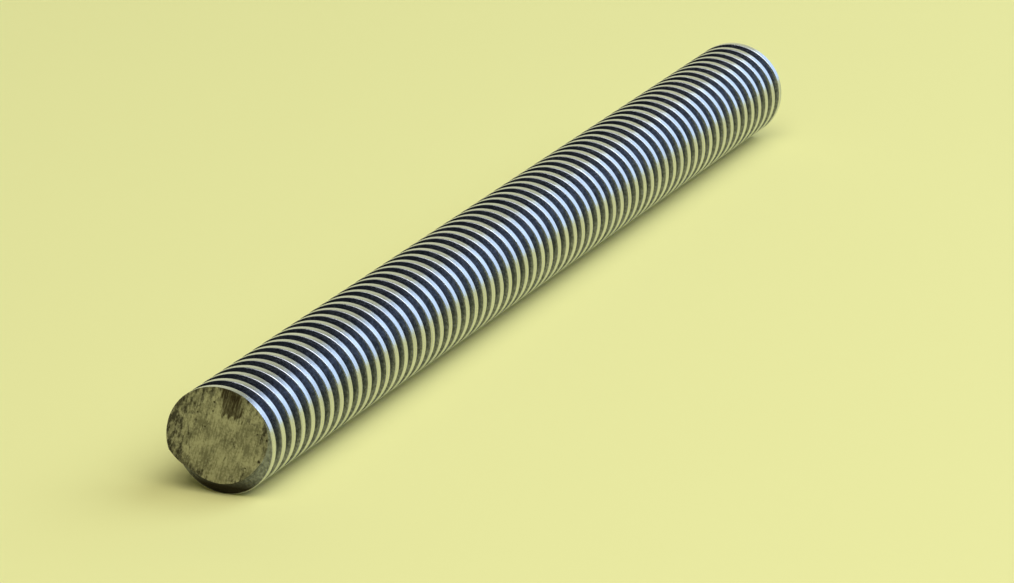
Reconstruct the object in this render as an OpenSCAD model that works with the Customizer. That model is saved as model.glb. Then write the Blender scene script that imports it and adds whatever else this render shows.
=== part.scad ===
// Trapezoidal lead screw: one steel bar with a metric trapezoidal thread cut along
// its whole length and both ends sawn off square. It lies along +X, with +Z up and
// the origin at the centre of the first end face, on the thread's axis.

/* [Bar] */
// Diameter over the thread's crests
major_dia = 20; // [16:0.5:30]
// Length from one sawn end to the other
bar_length = 250; // [60:1:320]

/* [Thread] */
// Axial distance from one crest to the next, with a single start
pitch = 4; // [3:0.25:5]
// Included angle between the two flanks of the groove
flank_angle = 30; // [20:1:40]
// Extra depth of the groove, so that the nut's crests clear its floor
root_clearance = 0.25; // [0.1:0.05:0.5]
// Angle from the top, turning with the thread, at which a crest starts on the first end
start_angle = 338; // [0:1:359]

/* [Hidden] */

major_r = major_dia / 2;
// Crest and groove are equally wide on the pitch cylinder, a quarter pitch below the crests
pitch_r = major_r - pitch / 4;
root_r = major_r - pitch / 2 - root_clearance;

// The cutter runs past the crests and past both ends, so that no face of it lies on the bar
cutter_over = 0.5;
cutter_r = major_r + cutter_over;
end_turns = 1;

// Steps in each turn of the cutter, as many as the facets of the whole length allow
facet_budget = 11500;
facets_per_step = 8;
cutter_turns = bar_length / pitch + 2 * end_turns;
turn_steps = floor(facet_budget / facets_per_step / cutter_turns);
steps = ceil(cutter_turns * turn_steps);

// Half the groove's width at a radius
function half_groove(r) = pitch / 4 + (r - pitch_r) * tan(flank_angle / 2);

// The groove's section, as [offset along the bar, radius], round from one root corner to the other
section = [
    [-half_groove(root_r), root_r],
    [-half_groove(cutter_r), cutter_r],
    [half_groove(cutter_r), cutter_r],
    [half_groove(root_r), root_r]
];
corners = len(section);

// The section's corners at one step. A right-hand thread turns from the top towards -Y as it
// goes along +X, and the groove's middle lies half a pitch past the crest's.
function ring(step) =
    let (
        turn = step / turn_steps - end_turns,
        x = pitch * (turn + 0.5),
        a = 360 * turn + start_angle
    )
    [for (c = section) [x + c[0], -c[1] * sin(a), c[1] * cos(a)]];

// The helical groove as one solid, from before the first end to past the second
module groove_cutter() {
    polyhedron(
        points = [for (i = [0:steps]) each ring(i)],
        faces = concat(
            [[for (c = [corners - 1:-1:0]) c]],
            [for (i = [0:steps - 1], c = [0:corners - 1], half = [0, 1]) cutter_facet(i, c, half)],
            [[for (c = [0:corners - 1]) steps * corners + c]]
        )
    );
}

// One of the two triangles between neighbouring rings, on the side that starts at corner c
function cutter_facet(i, c, half) =
    let (
        here = i * corners + c,
        side = i * corners + (c + 1) % corners
    )
    half == 0 ? [here, side, side + corners] : [here, side + corners, here + corners];

module lead_screw() {
    color("#8f9399")
    difference() {
        rotate([0, 90, 0])
            cylinder(r = major_r, h = bar_length, $fn = 180);
        groove_cutter();
    }
}

lead_screw();
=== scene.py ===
import math

import bmesh
import bpy
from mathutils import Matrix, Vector


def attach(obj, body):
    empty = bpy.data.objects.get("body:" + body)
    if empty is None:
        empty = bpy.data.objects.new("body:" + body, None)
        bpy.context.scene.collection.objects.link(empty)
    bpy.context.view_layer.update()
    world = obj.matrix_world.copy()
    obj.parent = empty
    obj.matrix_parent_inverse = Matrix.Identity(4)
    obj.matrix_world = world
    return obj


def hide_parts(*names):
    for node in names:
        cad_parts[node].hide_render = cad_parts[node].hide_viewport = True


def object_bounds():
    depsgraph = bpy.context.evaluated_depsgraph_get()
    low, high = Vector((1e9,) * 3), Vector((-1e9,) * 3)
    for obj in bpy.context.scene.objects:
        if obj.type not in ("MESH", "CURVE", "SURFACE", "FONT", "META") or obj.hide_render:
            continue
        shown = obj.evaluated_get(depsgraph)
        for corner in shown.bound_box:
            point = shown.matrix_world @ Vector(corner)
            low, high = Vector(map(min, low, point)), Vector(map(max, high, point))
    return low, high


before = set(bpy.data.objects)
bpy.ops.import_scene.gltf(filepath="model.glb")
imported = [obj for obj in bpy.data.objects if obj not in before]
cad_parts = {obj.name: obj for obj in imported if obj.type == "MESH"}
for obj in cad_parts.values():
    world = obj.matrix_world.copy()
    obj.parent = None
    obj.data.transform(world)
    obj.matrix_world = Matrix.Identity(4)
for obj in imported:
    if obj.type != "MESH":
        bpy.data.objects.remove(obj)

# A length of trapezoidal lead screw, cut off a longer bar with a band saw.
# It lies along X, its first sawn end at the origin and its axis on the X axis.

mm = 0.001
cadLow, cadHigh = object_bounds()
barLength = cadHigh.x - cadLow.x
crestRadius = (cadHigh.z - cadLow.z) / 2
floorHeight = cadLow.z


def linear(hexCode):
    # sRGB hex to linear red, green, blue and a full alpha
    parts = [int(hexCode[i:i + 2], 16) / 255 for i in (1, 3, 5)]
    return (*[c / 12.92 if c <= 0.04045 else ((c + 0.055) / 1.055) ** 2.4 for c in parts], 1.0)


def addNode(tree, kind, inputs=None, **settings):
    # inputs: socket name or number -> a constant, or the output socket to link from
    node = tree.nodes.new(kind)
    for name, value in settings.items():
        setattr(node, name, value)
    for key, value in (inputs or {}).items():
        if isinstance(value, bpy.types.NodeSocket):
            tree.links.new(value, node.inputs[key])
        else:
            node.inputs[key].default_value = value
    return node


def newMaterial(name):
    material = bpy.data.materials.new(name)
    material.use_nodes = True
    material.node_tree.nodes.clear()
    return material, material.node_tree


# Cold rolled carbon steel: the rolls burnish the crests bright, the flanks and the root stay
# duller and hold a film of old oil. The flanks' darker colour is partly painted shade in the
# grooves, and the dark low on the first end is painted shade. Sizes are in millimetres. Two
# depths, heights or noise levels say where a finish begins and where it is full.
threadLook = {
    "crest": "#d6d9dd",
    "crestWorn": "#b4b8be",
    # darker than the crest partly as painted shade in the grooves
    "flank": "#8b8f99",
    "flankDull": "#64686f",
    # shared by the old oil in the root and the painted shade low on the first end
    "oilAndShade": "#2e2a25",
    "crestRoughness": 0.23,
    "flankRoughness": 0.24,
    "wornRoughness": 0.08,         # added where a crest is worn
    "crestDepth": (0.16, 0.05),    # below the crests
    "rollLine": (11, 0.3),         # length along the thread and width; a real one is under
                                   # 0.1 wide, too fine to show, so it is drawn coarser
    "lineDepth": 0.0035,
    "wornLevel": (0.42, 0.68),
    "mostWorn": 0.8,
    "speckle": 0.5,                # coarser than the steel's own grain, which wouldn't show
    "speckleLevel": (0.35, 0.65),
    "oilPatchesPerMm": 0.3,
    "oilLevel": (0.35, 0.75),
    "oilDepth": (1.5, 2.2),        # below the crests
    "paintedShadeLength": (5.0, 2.5),   # painted shade on the first end's lowest grooves, where the floor's shadow falls: how far along the bar
    "paintedShadeHeight": (-5.5, -8.5),    # and how high from the axis
    "nickSpacing": 8,
    "nickRadius": 0.14,
    "nickDepth": 6.0,              # in depths of a roll line
    # along the bar, degrees from the top, depth below the crests, radius
    "nicks": ((241.7, 42, 0, 0.35), (240.45, 61, 0, 0.3), (127.6, 23, 2.2, 0.25),
              (140.0, 111, 2.2, 0.35)),
}


def rolledSteel():
    look = threadLook
    material, tree = newMaterial("cold rolled steel")
    place = addNode(tree, "ShaderNodeTexCoord")
    spot = addNode(tree, "ShaderNodeVectorMath", {0: place.outputs["Object"], "Scale": 1 / mm},
                   operation="SCALE")
    split = addNode(tree, "ShaderNodeSeparateXYZ", {0: spot.outputs[0]})
    outward = addNode(tree, "ShaderNodeCombineXYZ", {1: split.outputs[1], 2: split.outputs[2]})
    radius = addNode(tree, "ShaderNodeVectorMath", {0: outward.outputs[0]}, operation="LENGTH")
    wound = addNode(tree, "ShaderNodeUVMap", uv_map="wound")
    crestHeight = crestRadius / mm
    begin, full = look["crestDepth"]
    onCrest = addNode(tree, "ShaderNodeMapRange", {"Value": radius.outputs["Value"],
                      "From Min": crestHeight - begin, "From Max": crestHeight - full})
    begin, full = look["oilDepth"]
    inRoot = addNode(tree, "ShaderNodeMapRange", {"Value": radius.outputs["Value"],
                     "From Min": crestHeight - begin, "From Max": crestHeight - full})

    # lines that the rolls leave along the thread
    lineLength, lineWidth = look["rollLine"]
    drawn = addNode(tree, "ShaderNodeVectorMath", {0: wound.outputs[0],
                    1: (1 / mm / lineLength, 1 / mm / lineWidth, 0)}, operation="MULTIPLY")
    lines = addNode(tree, "ShaderNodeTexNoise", {"Vector": drawn.outputs[0], "Scale": 1.0,
                    "Detail": 3.0, "Roughness": 0.6})
    begin, full = look["wornLevel"]
    worn = addNode(tree, "ShaderNodeMapRange", {"Value": lines.outputs[0], "From Min": begin,
                   "From Max": full, "To Max": look["mostWorn"]})
    crest = addNode(tree, "ShaderNodeMix", {"Factor": worn.outputs[0], 6: linear(look["crest"]),
                    7: linear(look["crestWorn"])}, data_type="RGBA")

    # fine speckle, old oil in the groove, and painted shade low on the first end
    speckle = addNode(tree, "ShaderNodeTexNoise", {"Vector": spot.outputs[0],
                      "Scale": 1 / look["speckle"], "Detail": 2.0})
    begin, full = look["speckleLevel"]
    dull = addNode(tree, "ShaderNodeMapRange", {"Value": speckle.outputs[0], "From Min": begin,
                   "From Max": full})
    flank = addNode(tree, "ShaderNodeMix", {"Factor": dull.outputs[0], 6: linear(look["flank"]),
                    7: linear(look["flankDull"])}, data_type="RGBA")
    patches = addNode(tree, "ShaderNodeTexNoise", {"Vector": spot.outputs[0],
                      "Scale": look["oilPatchesPerMm"], "Detail": 4.0})
    begin, full = look["oilLevel"]
    pooled = addNode(tree, "ShaderNodeMapRange", {"Value": patches.outputs[0], "From Min": begin,
                     "From Max": full})
    oily = addNode(tree, "ShaderNodeMath", {0: pooled.outputs[0], 1: inRoot.outputs[0]},
                   operation="MULTIPLY")
    # painted shade: the grooves near the first end are darkened towards the bottom, where the
    # floor's shadow falls
    begin, full = look["paintedShadeLength"]
    atFirstEnd = addNode(tree, "ShaderNodeMapRange", {"Value": split.outputs[0],
                         "From Min": begin, "From Max": full})
    begin, full = look["paintedShadeHeight"]
    lowDown = addNode(tree, "ShaderNodeMapRange", {"Value": split.outputs[2], "From Min": begin,
                      "From Max": full})
    paintedShade = addNode(tree, "ShaderNodeMath", {0: atFirstEnd.outputs[0], 1: lowDown.outputs[0]},
                      operation="MULTIPLY")
    # the root's oil patches and the painted shade are mixed in with one colour
    oilAndShadeMask = addNode(tree, "ShaderNodeMath", {0: oily.outputs[0], 1: paintedShade.outputs[0]},
                     operation="MAXIMUM")
    groove = addNode(tree, "ShaderNodeMix", {"Factor": oilAndShadeMask.outputs[0], 6: flank.outputs[2],
                     7: linear(look["oilAndShade"])}, data_type="RGBA")
    # below the crests the colour drops to the darker flank: partly burnished crests, partly
    # painted shade in the grooves
    steel = addNode(tree, "ShaderNodeMix", {"Factor": onCrest.outputs[0], 6: groove.outputs[2],
                    7: crest.outputs[2]}, data_type="RGBA")

    # nicks from handling: many small ones anywhere, and the few larger ones
    cells = addNode(tree, "ShaderNodeTexVoronoi", {"Vector": spot.outputs[0],
                    "Scale": 1 / look["nickSpacing"]})
    reach = look["nickRadius"] / look["nickSpacing"]
    nick = addNode(tree, "ShaderNodeMapRange", {"Value": cells.outputs["Distance"],
                   "From Min": reach, "From Max": reach / 2}).outputs[0]
    for along, angle, below, size in look["nicks"]:
        turn = math.radians(angle)
        middle = Vector((0, -math.sin(turn), math.cos(turn))) * (crestHeight - below)
        middle.x = along
        away = addNode(tree, "ShaderNodeVectorMath", {0: spot.outputs[0], 1: middle},
                       operation="DISTANCE")
        mark = addNode(tree, "ShaderNodeMapRange", {"Value": away.outputs["Value"],
                       "From Min": size, "From Max": size * 0.6})
        nick = addNode(tree, "ShaderNodeMath", {0: nick, 1: mark.outputs[0]},
                       operation="MAXIMUM").outputs[0]
    nicked = addNode(tree, "ShaderNodeMix", {"Factor": nick, 6: steel.outputs[2],
                     7: linear(look["flankDull"])}, data_type="RGBA")

    rough = addNode(tree, "ShaderNodeMapRange", {"Value": onCrest.outputs[0],
                    "To Min": look["flankRoughness"], "To Max": look["crestRoughness"]})
    rougher = addNode(tree, "ShaderNodeMath", {0: worn.outputs[0], 1: look["wornRoughness"],
                      2: rough.outputs[0]}, operation="MULTIPLY_ADD")
    height = addNode(tree, "ShaderNodeMath", {0: nick, 1: -look["nickDepth"],
                     2: lines.outputs[0]}, operation="MULTIPLY_ADD")
    bump = addNode(tree, "ShaderNodeBump", {"Height": height.outputs[0],
                   "Distance": look["lineDepth"] * mm})
    shader = addNode(tree, "ShaderNodeBsdfPrincipled", {"Base Color": nicked.outputs[2],
                     "Metallic": 1.0, "Roughness": rougher.outputs[0], "Normal": bump.outputs[0]})
    addNode(tree, "ShaderNodeOutputMaterial", {0: shader.outputs[0]})
    print("steel rolled:", len(tree.nodes), "nodes")
    return material


# The same steel, cut through with a band saw: matt, with one way of streaks from the teeth,
# stained where the cutting oil dried. Sizes are in millimetres, and places are seen from the
# first end: right of the axis, then up.
endLook = {
    # both tones carry a faint yellow cast: a painted reflection of the pale yellow floor
    "bright": "#aeaba0",
    "dark": "#76746a",
    "grime": "#34302a",
    "stain": "#30261b",
    "roughness": 0.42,
    "grimeRoughness": 0.2,         # added under the grime
    "lean": 17,                    # degrees that the streaks lean from the upright
    "streak": (2.6, 0.26),         # length and width; the teeth's own scratches are finer, and
                                   # are drawn this coarse to show
    "streakDepth": 0.01,
    "grain": 0.45,                 # size of the speckle between the streaks
    "grainShare": 0.45,            # of the tone, beside the streaks
    "cloudsPerMm": 0.35,
    "cloudShare": 0.35,
    "toneLevel": (0.42, 0.58),
    "blotsPerMm": 0.8,
    "blotStretch": (1, 1.6, 0.7),
    "grimyRim": (5.5, 9.5),        # from the axis
    "rimGrime": 0.1,
    "grimyLeft": (1.0, 8.0),
    "leftGrime": 0.08,
    "grimeLevel": (0.57, 0.72),
    "mostGrime": 0.85,
    "stainRight": 2.6,
    "stainHalfWidth": 1.75,
    "stainRagged": 3.2,            # how far the blots push the stain's sides
    "stainSide": (2.0, 1.4),
    "stainFoot": 4.9,
    "dripsPerMm": (0, 1.1, 0.05),
    "dripLength": 6.0,
    "dripEnd": (2.8, 3.2),
    "inkLevel": (0.3, 0.6),        # of the streaks that show through the stain
    "inkDepth": (0.55, 0.92),
    "firstEndReach": 1.0,          # how far along the bar the first end's marks may lie
    "pitDepth": 4.0,               # in depths of a streak
    # right, up, radius
    "pits": ((7.4, -2.8, 0.34), (9.0, 1.3, 0.3), (7.3, 2.2, 0.18), (8.5, 2.2, 0.17),
             (6.3, 4.0, 0.14), (-0.7, 7.2, 0.25), (-1.0, 5.5, 0.2), (-3.9, 5.0, 0.22),
             (-2.6, 2.5, 0.2), (4.8, -4.3, 0.2)),
}


def sawnSteel():
    look = endLook
    material, tree = newMaterial("band sawn steel")
    place = addNode(tree, "ShaderNodeTexCoord")
    spot = addNode(tree, "ShaderNodeVectorMath", {0: place.outputs["Object"], "Scale": 1 / mm},
                   operation="SCALE")
    # turned so that the streaks run along Z
    stroke = addNode(tree, "ShaderNodeVectorRotate", {"Vector": spot.outputs[0],
                     "Angle": -math.radians(look["lean"])}, rotation_type="X_AXIS")
    flat = addNode(tree, "ShaderNodeSeparateXYZ", {0: spot.outputs[0]})

    streakLength, streakWidth = look["streak"]
    drawn = addNode(tree, "ShaderNodeVectorMath", {0: stroke.outputs[0],
                    1: (1, 1 / streakWidth, 1 / streakLength)}, operation="MULTIPLY")
    streaks = addNode(tree, "ShaderNodeTexNoise", {"Vector": drawn.outputs[0], "Scale": 1.0,
                      "Detail": 3.0, "Roughness": 0.6})
    grain = addNode(tree, "ShaderNodeTexNoise", {"Vector": spot.outputs[0],
                    "Scale": 1 / look["grain"], "Detail": 2.0, "Roughness": 0.6})
    cloud = addNode(tree, "ShaderNodeTexNoise", {"Vector": stroke.outputs[0],
                    "Scale": look["cloudsPerMm"], "Detail": 3.0})
    marked = addNode(tree, "ShaderNodeMix", {"Factor": look["grainShare"],
                     2: streaks.outputs[0], 3: grain.outputs[0]}, data_type="FLOAT")
    uneven = addNode(tree, "ShaderNodeMix", {"Factor": look["cloudShare"],
                     2: marked.outputs[0], 3: cloud.outputs[0]}, data_type="FLOAT")
    begin, full = look["toneLevel"]
    tone = addNode(tree, "ShaderNodeMapRange", {"Value": uneven.outputs[0], "From Min": begin,
                   "From Max": full})
    steel = addNode(tree, "ShaderNodeMix", {"Factor": tone.outputs[0], 6: linear(look["bright"]),
                    7: linear(look["dark"])}, data_type="RGBA")

    # grime that has gathered towards the left of the face and its rim
    drag = addNode(tree, "ShaderNodeVectorMath", {0: stroke.outputs[0],
                   1: look["blotStretch"]}, operation="MULTIPLY")
    blots = addNode(tree, "ShaderNodeTexNoise", {"Vector": drag.outputs[0],
                    "Scale": look["blotsPerMm"], "Detail": 6.0, "Roughness": 0.7})
    radius = addNode(tree, "ShaderNodeVectorMath", {0: spot.outputs[0], 1: (0, 1, 1)},
                     operation="MULTIPLY")
    out = addNode(tree, "ShaderNodeVectorMath", {0: radius.outputs[0]}, operation="LENGTH")
    begin, full = look["grimyRim"]
    nearRim = addNode(tree, "ShaderNodeMapRange", {"Value": out.outputs["Value"],
                      "From Min": begin, "From Max": full, "To Max": look["rimGrime"]})
    begin, full = look["grimyLeft"]
    toLeft = addNode(tree, "ShaderNodeMapRange", {"Value": flat.outputs[1], "From Min": begin,
                     "From Max": full, "To Max": look["leftGrime"]})
    lift = addNode(tree, "ShaderNodeMath", {0: nearRim.outputs[0], 1: toLeft.outputs[0]},
                   operation="ADD")
    gathered = addNode(tree, "ShaderNodeMath", {0: blots.outputs[0], 1: lift.outputs[0]},
                       operation="ADD")
    begin, full = look["grimeLevel"]
    grime = addNode(tree, "ShaderNodeMapRange", {"Value": gathered.outputs[0],
                    "From Min": begin, "From Max": full, "To Max": look["mostGrime"]})
    dirty = addNode(tree, "ShaderNodeMix", {"Factor": grime.outputs[0], 6: steel.outputs[2],
                    7: linear(look["grime"])}, data_type="RGBA")

    # the stain hangs from the rim, with runs down along the streaks
    aside = addNode(tree, "ShaderNodeMath", {0: flat.outputs[1], 1: look["stainRight"]},
                    operation="ADD")
    width = addNode(tree, "ShaderNodeMath", {0: aside.outputs[0]}, operation="ABSOLUTE")
    ragged = addNode(tree, "ShaderNodeMath", {0: blots.outputs[0], 1: look["stainRagged"],
                     2: width.outputs[0]}, operation="MULTIPLY_ADD")
    begin, full = look["stainSide"]
    between = addNode(tree, "ShaderNodeMapRange", {"Value": ragged.outputs[0],
                      "From Min": look["stainHalfWidth"] + begin,
                      "From Max": look["stainHalfWidth"] + full})
    runs = addNode(tree, "ShaderNodeVectorMath", {0: stroke.outputs[0], 1: look["dripsPerMm"]},
                   operation="MULTIPLY")
    drips = addNode(tree, "ShaderNodeTexNoise", {"Vector": runs.outputs[0], "Scale": 1.0,
                    "Detail": 2.0})
    foot = addNode(tree, "ShaderNodeMath", {0: drips.outputs[0], 1: look["dripLength"],
                   2: flat.outputs[2]}, operation="MULTIPLY_ADD")
    begin, full = look["dripEnd"]
    above = addNode(tree, "ShaderNodeMapRange", {"Value": foot.outputs[0],
                    "From Min": look["stainFoot"] + begin, "From Max": look["stainFoot"] + full})
    firstEnd = addNode(tree, "ShaderNodeMath", {0: flat.outputs[0], 1: look["firstEndReach"]},
                       operation="LESS_THAN")
    inside = addNode(tree, "ShaderNodeMath", {0: between.outputs[0], 1: above.outputs[0]},
                     operation="MULTIPLY")
    begin, full = look["inkLevel"]
    thin, thick = look["inkDepth"]
    depth = addNode(tree, "ShaderNodeMapRange", {"Value": streaks.outputs[0], "From Min": begin,
                    "From Max": full, "To Min": thin, "To Max": thick})
    inked = addNode(tree, "ShaderNodeMath", {0: inside.outputs[0], 1: depth.outputs[0]},
                    operation="MULTIPLY")
    stain = addNode(tree, "ShaderNodeMath", {0: inked.outputs[0], 1: firstEnd.outputs[0]},
                    operation="MULTIPLY")
    stained = addNode(tree, "ShaderNodeMix", {"Factor": stain.outputs[0], 6: dirty.outputs[2],
                      7: linear(look["stain"])}, data_type="RGBA")

    # torn pits on the first end
    pit = None
    for right, up, size in look["pits"]:
        away = addNode(tree, "ShaderNodeVectorMath", {0: radius.outputs[0], 1: (0, -right, up)},
                       operation="DISTANCE")
        mark = addNode(tree, "ShaderNodeMapRange", {"Value": away.outputs["Value"],
                       "From Min": size, "From Max": size * 0.4}).outputs[0]
        pit = mark if pit is None else addNode(tree, "ShaderNodeMath", {0: pit, 1: mark},
                                               operation="MAXIMUM").outputs[0]
    pit = addNode(tree, "ShaderNodeMath", {0: pit, 1: firstEnd.outputs[0]},
                  operation="MULTIPLY").outputs[0]
    pitted = addNode(tree, "ShaderNodeMix", {"Factor": pit, 6: stained.outputs[2],
                     7: linear(look["grime"])}, data_type="RGBA")

    rough = addNode(tree, "ShaderNodeMath", {0: grime.outputs[0], 1: look["grimeRoughness"],
                    2: look["roughness"]}, operation="MULTIPLY_ADD")
    height = addNode(tree, "ShaderNodeMath", {0: pit, 1: -look["pitDepth"],
                     2: streaks.outputs[0]}, operation="MULTIPLY_ADD")
    bump = addNode(tree, "ShaderNodeBump", {"Height": height.outputs[0],
                   "Distance": look["streakDepth"] * mm})
    shader = addNode(tree, "ShaderNodeBsdfPrincipled", {"Base Color": pitted.outputs[2],
                     "Metallic": 1.0, "Roughness": rough.outputs[0], "Normal": bump.outputs[0]})
    addNode(tree, "ShaderNodeOutputMaterial", {0: shader.outputs[0]})
    print("steel sawn:", len(tree.nodes), "nodes")
    return material


# the thread's sizes
thread = {
    "pitch": 4 * mm,
    "flankAngle": 30,          # degrees between the groove's two flanks
    "rootClearance": 0.25 * mm,
    "startAngle": 309,         # degrees from the top at which a crest starts on the first end
    "crestRounding": 0.15 * mm,
    "rootRounding": 0.5 * mm,
    "roundingSteps": 3,
    "stepsATurn": 84,
    "spareTurns": 1.0,         # run past each end, and sawn off there
    "weldDistance": 0.005 * mm,
}


def threadTree():
    tree = bpy.data.node_groups.new("trapezoidal thread", "GeometryNodeTree")
    tree.interface.new_socket("Geometry", in_out="OUTPUT", socket_type="NodeSocketGeometry")
    for name, kind in (("Crest radius", "Float"), ("Root radius", "Float"),
                       ("Half crest", "Float"), ("Half root", "Float"), ("Pitch", "Float"),
                       ("Crest rounding", "Float"), ("Root rounding", "Float"),
                       ("Rounding steps", "Int"), ("Turns", "Float"), ("Spare turns", "Float"),
                       ("Steps a turn", "Int"), ("Start angle", "Float"),
                       ("Weld distance", "Float"), ("Steel", "Material")):
        tree.interface.new_socket(name, in_out="INPUT", socket_type="NodeSocket" + kind)
    size = addNode(tree, "NodeGroupInput").outputs

    # one tooth's outline, from the middle of one root to the middle of the next: X along, Y out
    halfPitch = addNode(tree, "ShaderNodeMath", {0: size["Pitch"], 1: 0.5}, operation="MULTIPLY")
    outline = [("Root radius", halfPitch.outputs[0], -1), ("Root radius", size["Half root"], -1),
               ("Crest radius", size["Half crest"], -1), ("Crest radius", size["Half crest"], 1),
               ("Root radius", size["Half root"], 1), ("Root radius", halfPitch.outputs[0], 1)]
    pick = addNode(tree, "GeometryNodeIndexSwitch", data_type="VECTOR")
    while len(pick.index_switch_items) < len(outline):
        pick.index_switch_items.new()
    tree.links.new(addNode(tree, "GeometryNodeInputIndex").outputs[0], pick.inputs["Index"])
    for number, (out, along, side) in enumerate(outline):
        x = addNode(tree, "ShaderNodeMath", {0: along, 1: side}, operation="MULTIPLY")
        corner = addNode(tree, "ShaderNodeCombineXYZ", {0: x.outputs[0], 1: size[out]})
        tree.links.new(corner.outputs[0], pick.inputs[1 + number])
    line = addNode(tree, "GeometryNodeMeshLine", {"Count": len(outline)})
    bent = addNode(tree, "GeometryNodeSetPosition", {"Geometry": line.outputs[0],
                   "Position": pick.outputs[0]})
    curve = addNode(tree, "GeometryNodeMeshToCurve", {0: bent.outputs[0]})
    # softer corners at the root than at the crest
    place = addNode(tree, "GeometryNodeInputPosition")
    reach = addNode(tree, "ShaderNodeSeparateXYZ", {0: place.outputs[0]})
    rounding = addNode(tree, "ShaderNodeMapRange", {"Value": reach.outputs[1],
                       "From Min": size["Root radius"], "From Max": size["Crest radius"],
                       "To Min": size["Root rounding"], "To Max": size["Crest rounding"]})
    tooth = addNode(tree, "GeometryNodeFilletCurve", {"Curve": curve.outputs[0],
                    "Count": size["Rounding steps"], "Radius": rounding.outputs[0],
                    "Limit Radius": True}, mode="POLY")
    corners = addNode(tree, "GeometryNodeAttributeDomainSize", {0: tooth.outputs[0]},
                      component="CURVE")

    # one strip as wide as the pitch winds round the bar: columns along it, the outline across it
    winds = addNode(tree, "ShaderNodeMath", {0: size["Spare turns"], 1: 2.0, 2: size["Turns"]},
                    operation="MULTIPLY_ADD")
    steps = addNode(tree, "ShaderNodeMath", {0: winds.outputs[0], 1: size["Steps a turn"], 2: 1.0},
                    operation="MULTIPLY_ADD")
    strip = addNode(tree, "GeometryNodeMeshGrid", {"Vertices X": steps.outputs[0],
                    "Vertices Y": corners.outputs["Point Count"]})
    index = addNode(tree, "GeometryNodeInputIndex")
    step = addNode(tree, "FunctionNodeIntegerMath", {0: index.outputs[0],
                   1: corners.outputs["Point Count"]}, operation="DIVIDE_FLOOR")
    row = addNode(tree, "FunctionNodeIntegerMath", {0: index.outputs[0],
                  1: corners.outputs["Point Count"]}, operation="MODULO")
    turn = addNode(tree, "ShaderNodeMath", {0: step.outputs[0], 1: size["Steps a turn"]},
                   operation="DIVIDE")
    turned = addNode(tree, "ShaderNodeMath", {0: turn.outputs[0], 1: size["Spare turns"]},
                     operation="SUBTRACT")
    angle = addNode(tree, "ShaderNodeMath", {0: turned.outputs[0], 1: 2 * math.pi,
                    2: size["Start angle"]}, operation="MULTIPLY_ADD")
    sampled = addNode(tree, "GeometryNodeSampleIndex", {"Geometry": tooth.outputs[0],
                      "Value": place.outputs[0], "Index": row.outputs[0]},
                      data_type="FLOAT_VECTOR")
    point = addNode(tree, "ShaderNodeSeparateXYZ", {0: sampled.outputs[0]})
    along = addNode(tree, "ShaderNodeMath", {0: turned.outputs[0], 1: size["Pitch"],
                    2: point.outputs[0]}, operation="MULTIPLY_ADD")
    upright = addNode(tree, "ShaderNodeCombineXYZ", {0: along.outputs[0], 2: point.outputs[1]})
    wound = addNode(tree, "ShaderNodeVectorRotate", {"Vector": upright.outputs[0],
                    "Angle": angle.outputs[0]}, rotation_type="X_AXIS")
    placed = addNode(tree, "GeometryNodeSetPosition", {"Geometry": strip.outputs["Mesh"],
                     "Position": wound.outputs[0]})
    # the strip laid flat again, as the map that the material's lines follow
    girth = addNode(tree, "ShaderNodeMath", {0: turned.outputs[0],
                    1: 2 * math.pi * crestRadius}, operation="MULTIPLY")
    laid = addNode(tree, "ShaderNodeCombineXYZ", {0: girth.outputs[0], 1: point.outputs[0]})
    atPoints = addNode(tree, "GeometryNodeFieldOnDomain", {0: laid.outputs[0]},
                       data_type="FLOAT_VECTOR", domain="POINT")
    mapped = addNode(tree, "GeometryNodeStoreNamedAttribute", {"Geometry": placed.outputs[0],
                     "Name": "wound", "Value": atPoints.outputs[0]}, data_type="FLOAT2",
                     domain="CORNER")
    welded = addNode(tree, "GeometryNodeMergeByDistance", {"Geometry": mapped.outputs[0],
                     "Distance": size["Weld distance"]})
    smooth = addNode(tree, "GeometryNodeSetShadeSmooth", {"Geometry": welded.outputs[0]})
    real = addNode(tree, "GeometryNodeRealizeInstances", {"Geometry": smooth.outputs[0]})
    steel = addNode(tree, "GeometryNodeSetMaterial", {"Geometry": real.outputs[0],
                    "Material": size["Steel"]})
    addNode(tree, "NodeGroupOutput", {0: steel.outputs[0]})
    return tree


def windThread(steel):
    pitch = thread["pitch"]
    lean = math.tan(math.radians(thread["flankAngle"] / 2))
    rootRadius = crestRadius - pitch / 2 - thread["rootClearance"]
    sizes = {
        "Crest radius": crestRadius,
        "Root radius": rootRadius,
        "Half crest": pitch / 4 - lean * pitch / 4,
        "Half root": pitch / 4 + lean * (pitch / 4 + thread["rootClearance"]),
        "Pitch": pitch,
        "Crest rounding": thread["crestRounding"],
        "Root rounding": thread["rootRounding"],
        "Rounding steps": thread["roundingSteps"],
        "Turns": barLength / pitch,
        "Spare turns": thread["spareTurns"],
        "Steps a turn": thread["stepsATurn"],
        "Start angle": math.radians(thread["startAngle"]),
        "Weld distance": thread["weldDistance"],
        "Steel": steel,
    }
    holder = bpy.data.objects.new("threadHolder", bpy.data.meshes.new("threadHolder"))
    bpy.context.scene.collection.objects.link(holder)
    modifier = holder.modifiers.new("thread", "NODES")
    modifier.node_group = threadTree()
    for item in modifier.node_group.interface.items_tree:
        if item.in_out == "INPUT":
            modifier[item.identifier] = sizes[item.name]
    ready = holder.evaluated_get(bpy.context.evaluated_depsgraph_get())
    mesh = bpy.data.meshes.new_from_object(ready)
    bpy.data.objects.remove(holder)
    print("thread wound:", len(mesh.vertices), "points,", len(mesh.polygons), "faces")
    return mesh


# the saw's two cuts: the first one ran a little out of square
saw = {
    "slant": 2.0,              # degrees out of square
    "deepest": 130,            # degrees from the top, where the first cut is furthest back
    "nearness": 1e-7,          # a corner this close to a cut lies on it
}


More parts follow.
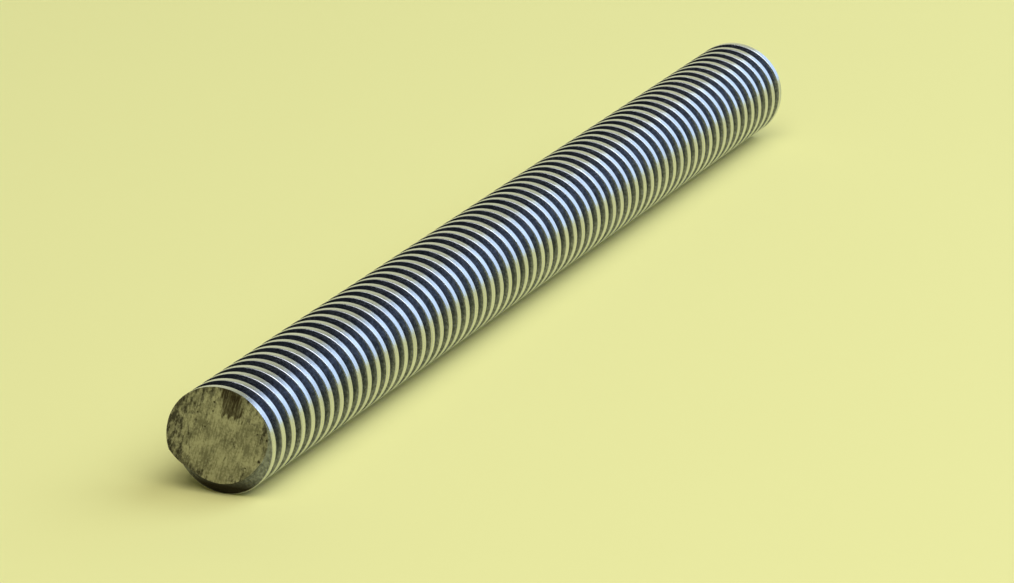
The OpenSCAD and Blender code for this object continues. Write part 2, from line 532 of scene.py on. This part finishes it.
def sawOff(mesh, sawn):
    mesh.materials.append(sawn)
    sawnSlot = len(mesh.materials) - 1
    slant, deepest = math.tan(math.radians(saw["slant"])), math.radians(saw["deepest"])
    slanted = Vector((-1, -slant * math.sin(deepest), slant * math.cos(deepest))).normalized()
    bm = bmesh.new()
    bm.from_mesh(mesh)
    for x, outward in ((slant * crestRadius, slanted), (barLength, Vector((1, 0, 0)))):
        cut = bmesh.ops.bisect_plane(bm, geom=bm.verts[:] + bm.edges[:] + bm.faces[:],
                                     dist=saw["nearness"], plane_co=(x, 0, 0), plane_no=outward,
                                     clear_outer=True)
        rim = [e for e in cut["geom_cut"] if isinstance(e, bmesh.types.BMEdge)]
        for edge in rim:
            edge.smooth = False
        face = bmesh.ops.contextual_create(bm, geom=rim)["faces"][0]
        face.material_index = sawnSlot
        face.smooth = False
        if face.normal.dot(outward) < 0:
            face.normal_flip()
    bmesh.ops.recalc_face_normals(bm, faces=bm.faces[:])
    bm.to_mesh(mesh)
    bm.free()
    print("ends sawn off:", len(mesh.polygons), "faces")
    return mesh


def makeScrew():
    mesh = sawOff(windThread(rolledSteel()), sawnSteel())
    mesh.name = "leadScrewBar"
    screw = bpy.data.objects.new("leadScrewBar", mesh)
    bpy.context.scene.collection.objects.link(screw)
    flat = screw.modifiers.new("flat crests", "WEIGHTED_NORMAL")
    flat.keep_sharp = True
    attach(screw, "root")
    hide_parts("lead_screw")
    print("screw finished:", len(mesh.materials), "finishes")


# floor
paper = {
    "colour": "#f9f3a0",
    "roughness": 0.9,
    "gloss": 0.2,
    "halfWidth": 5.0,
}


def makeFloor():
    material, tree = newMaterial("matt paper")
    shader = addNode(tree, "ShaderNodeBsdfPrincipled", {"Base Color": linear(paper["colour"]),
                     "Roughness": paper["roughness"], "Specular IOR Level": paper["gloss"]})
    addNode(tree, "ShaderNodeOutputMaterial", {0: shader.outputs[0]})
    half = paper["halfWidth"]
    mesh = bpy.data.meshes.new("floor")
    mesh.from_pydata([(-half, -half, floorHeight), (half, -half, floorHeight),
                      (half, half, floorHeight), (-half, half, floorHeight)], [], [(0, 1, 2, 3)])
    mesh.materials.append(material)
    floor = bpy.data.objects.new("floor", mesh)
    bpy.context.scene.collection.objects.link(floor)
    print("floor laid at", round(floorHeight / mm, 2), "mm")


# A window behind the bar, a pale card beside it, a lamp to the side and one in front:
# degrees from +X towards +Y, degrees up, distance, width, height, brightness (1 is white), colour
lamps = {
    "window": (-22, 15, 1.6, 1.1, 0.9, 1.52, "#c8e0fc"),
    "card": (22.5, 17, 1.7, 1.65, 1.15, 0.8, "#f8f8c8"),
    "side": (-55, 48, 1.9, 1.5, 1.5, 3.0, "#dae7ff"),
    "front": (216, 60, 2.0, 2.0, 2.0, 2.4, "#ffffff"),
}
room = {
    "colour": "#2c3037",
    "strength": 1.0,
}


def addLamp(name, azimuth, elevation, distance, width, height, radiance, colour):
    middle = Vector((barLength / 2, 0, 0))
    a, e = math.radians(azimuth), math.radians(elevation)
    out = Vector((math.cos(a) * math.cos(e), math.sin(a) * math.cos(e), math.sin(e)))
    data = bpy.data.lights.new(name, "AREA")
    data.shape = "RECTANGLE"
    data.size, data.size_y = width, height
    data.energy = radiance * math.pi * width * height
    data.color = linear(colour)[:3]
    lamp = bpy.data.objects.new(name, data)
    lamp.location = middle + out * distance
    lamp.rotation_euler = (-out).to_track_quat("-Z", "Y").to_euler()
    lamp.visible_camera = False
    bpy.context.scene.collection.objects.link(lamp)


def makeLight():
    world = bpy.data.worlds.new("room")
    bpy.context.scene.world = world
    world.use_nodes = True
    tree = world.node_tree
    tree.nodes.clear()
    back = addNode(tree, "ShaderNodeBackground", {"Color": linear(room["colour"]),
                   "Strength": room["strength"]})
    addNode(tree, "ShaderNodeOutputWorld", {0: back.outputs[0]})
    for name, settings in lamps.items():
        addLamp(name, *settings)
    print("lamps hung:", ", ".join(lamps))


view = {
    "place": (-0.87655, -0.4270, 0.3312),
    "azimuth": -66.956,    # degrees; 0 looks along +Y
    "down": 17.336,
    "lens": 211.65,
    "farthest": 50,
}


def makeCamera():
    a, e = math.radians(view["azimuth"]), math.radians(view["down"])
    ahead = Vector((-math.sin(a) * math.cos(e), math.cos(a) * math.cos(e), -math.sin(e)))
    data = bpy.data.cameras.new("camera")
    data.lens = view["lens"]
    data.clip_end = view["farthest"]
    camera = bpy.data.objects.new("camera", data)
    camera.location = view["place"]
    camera.rotation_euler = ahead.to_track_quat("-Z", "Y").to_euler()
    bpy.context.scene.collection.objects.link(camera)
    bpy.context.scene.camera = camera
    print("camera set:", view["lens"], "mm lens")


makeCamera()
makeScrew()
makeFloor()
makeLight()
bpy.context.scene.view_settings.view_transform = "Standard"
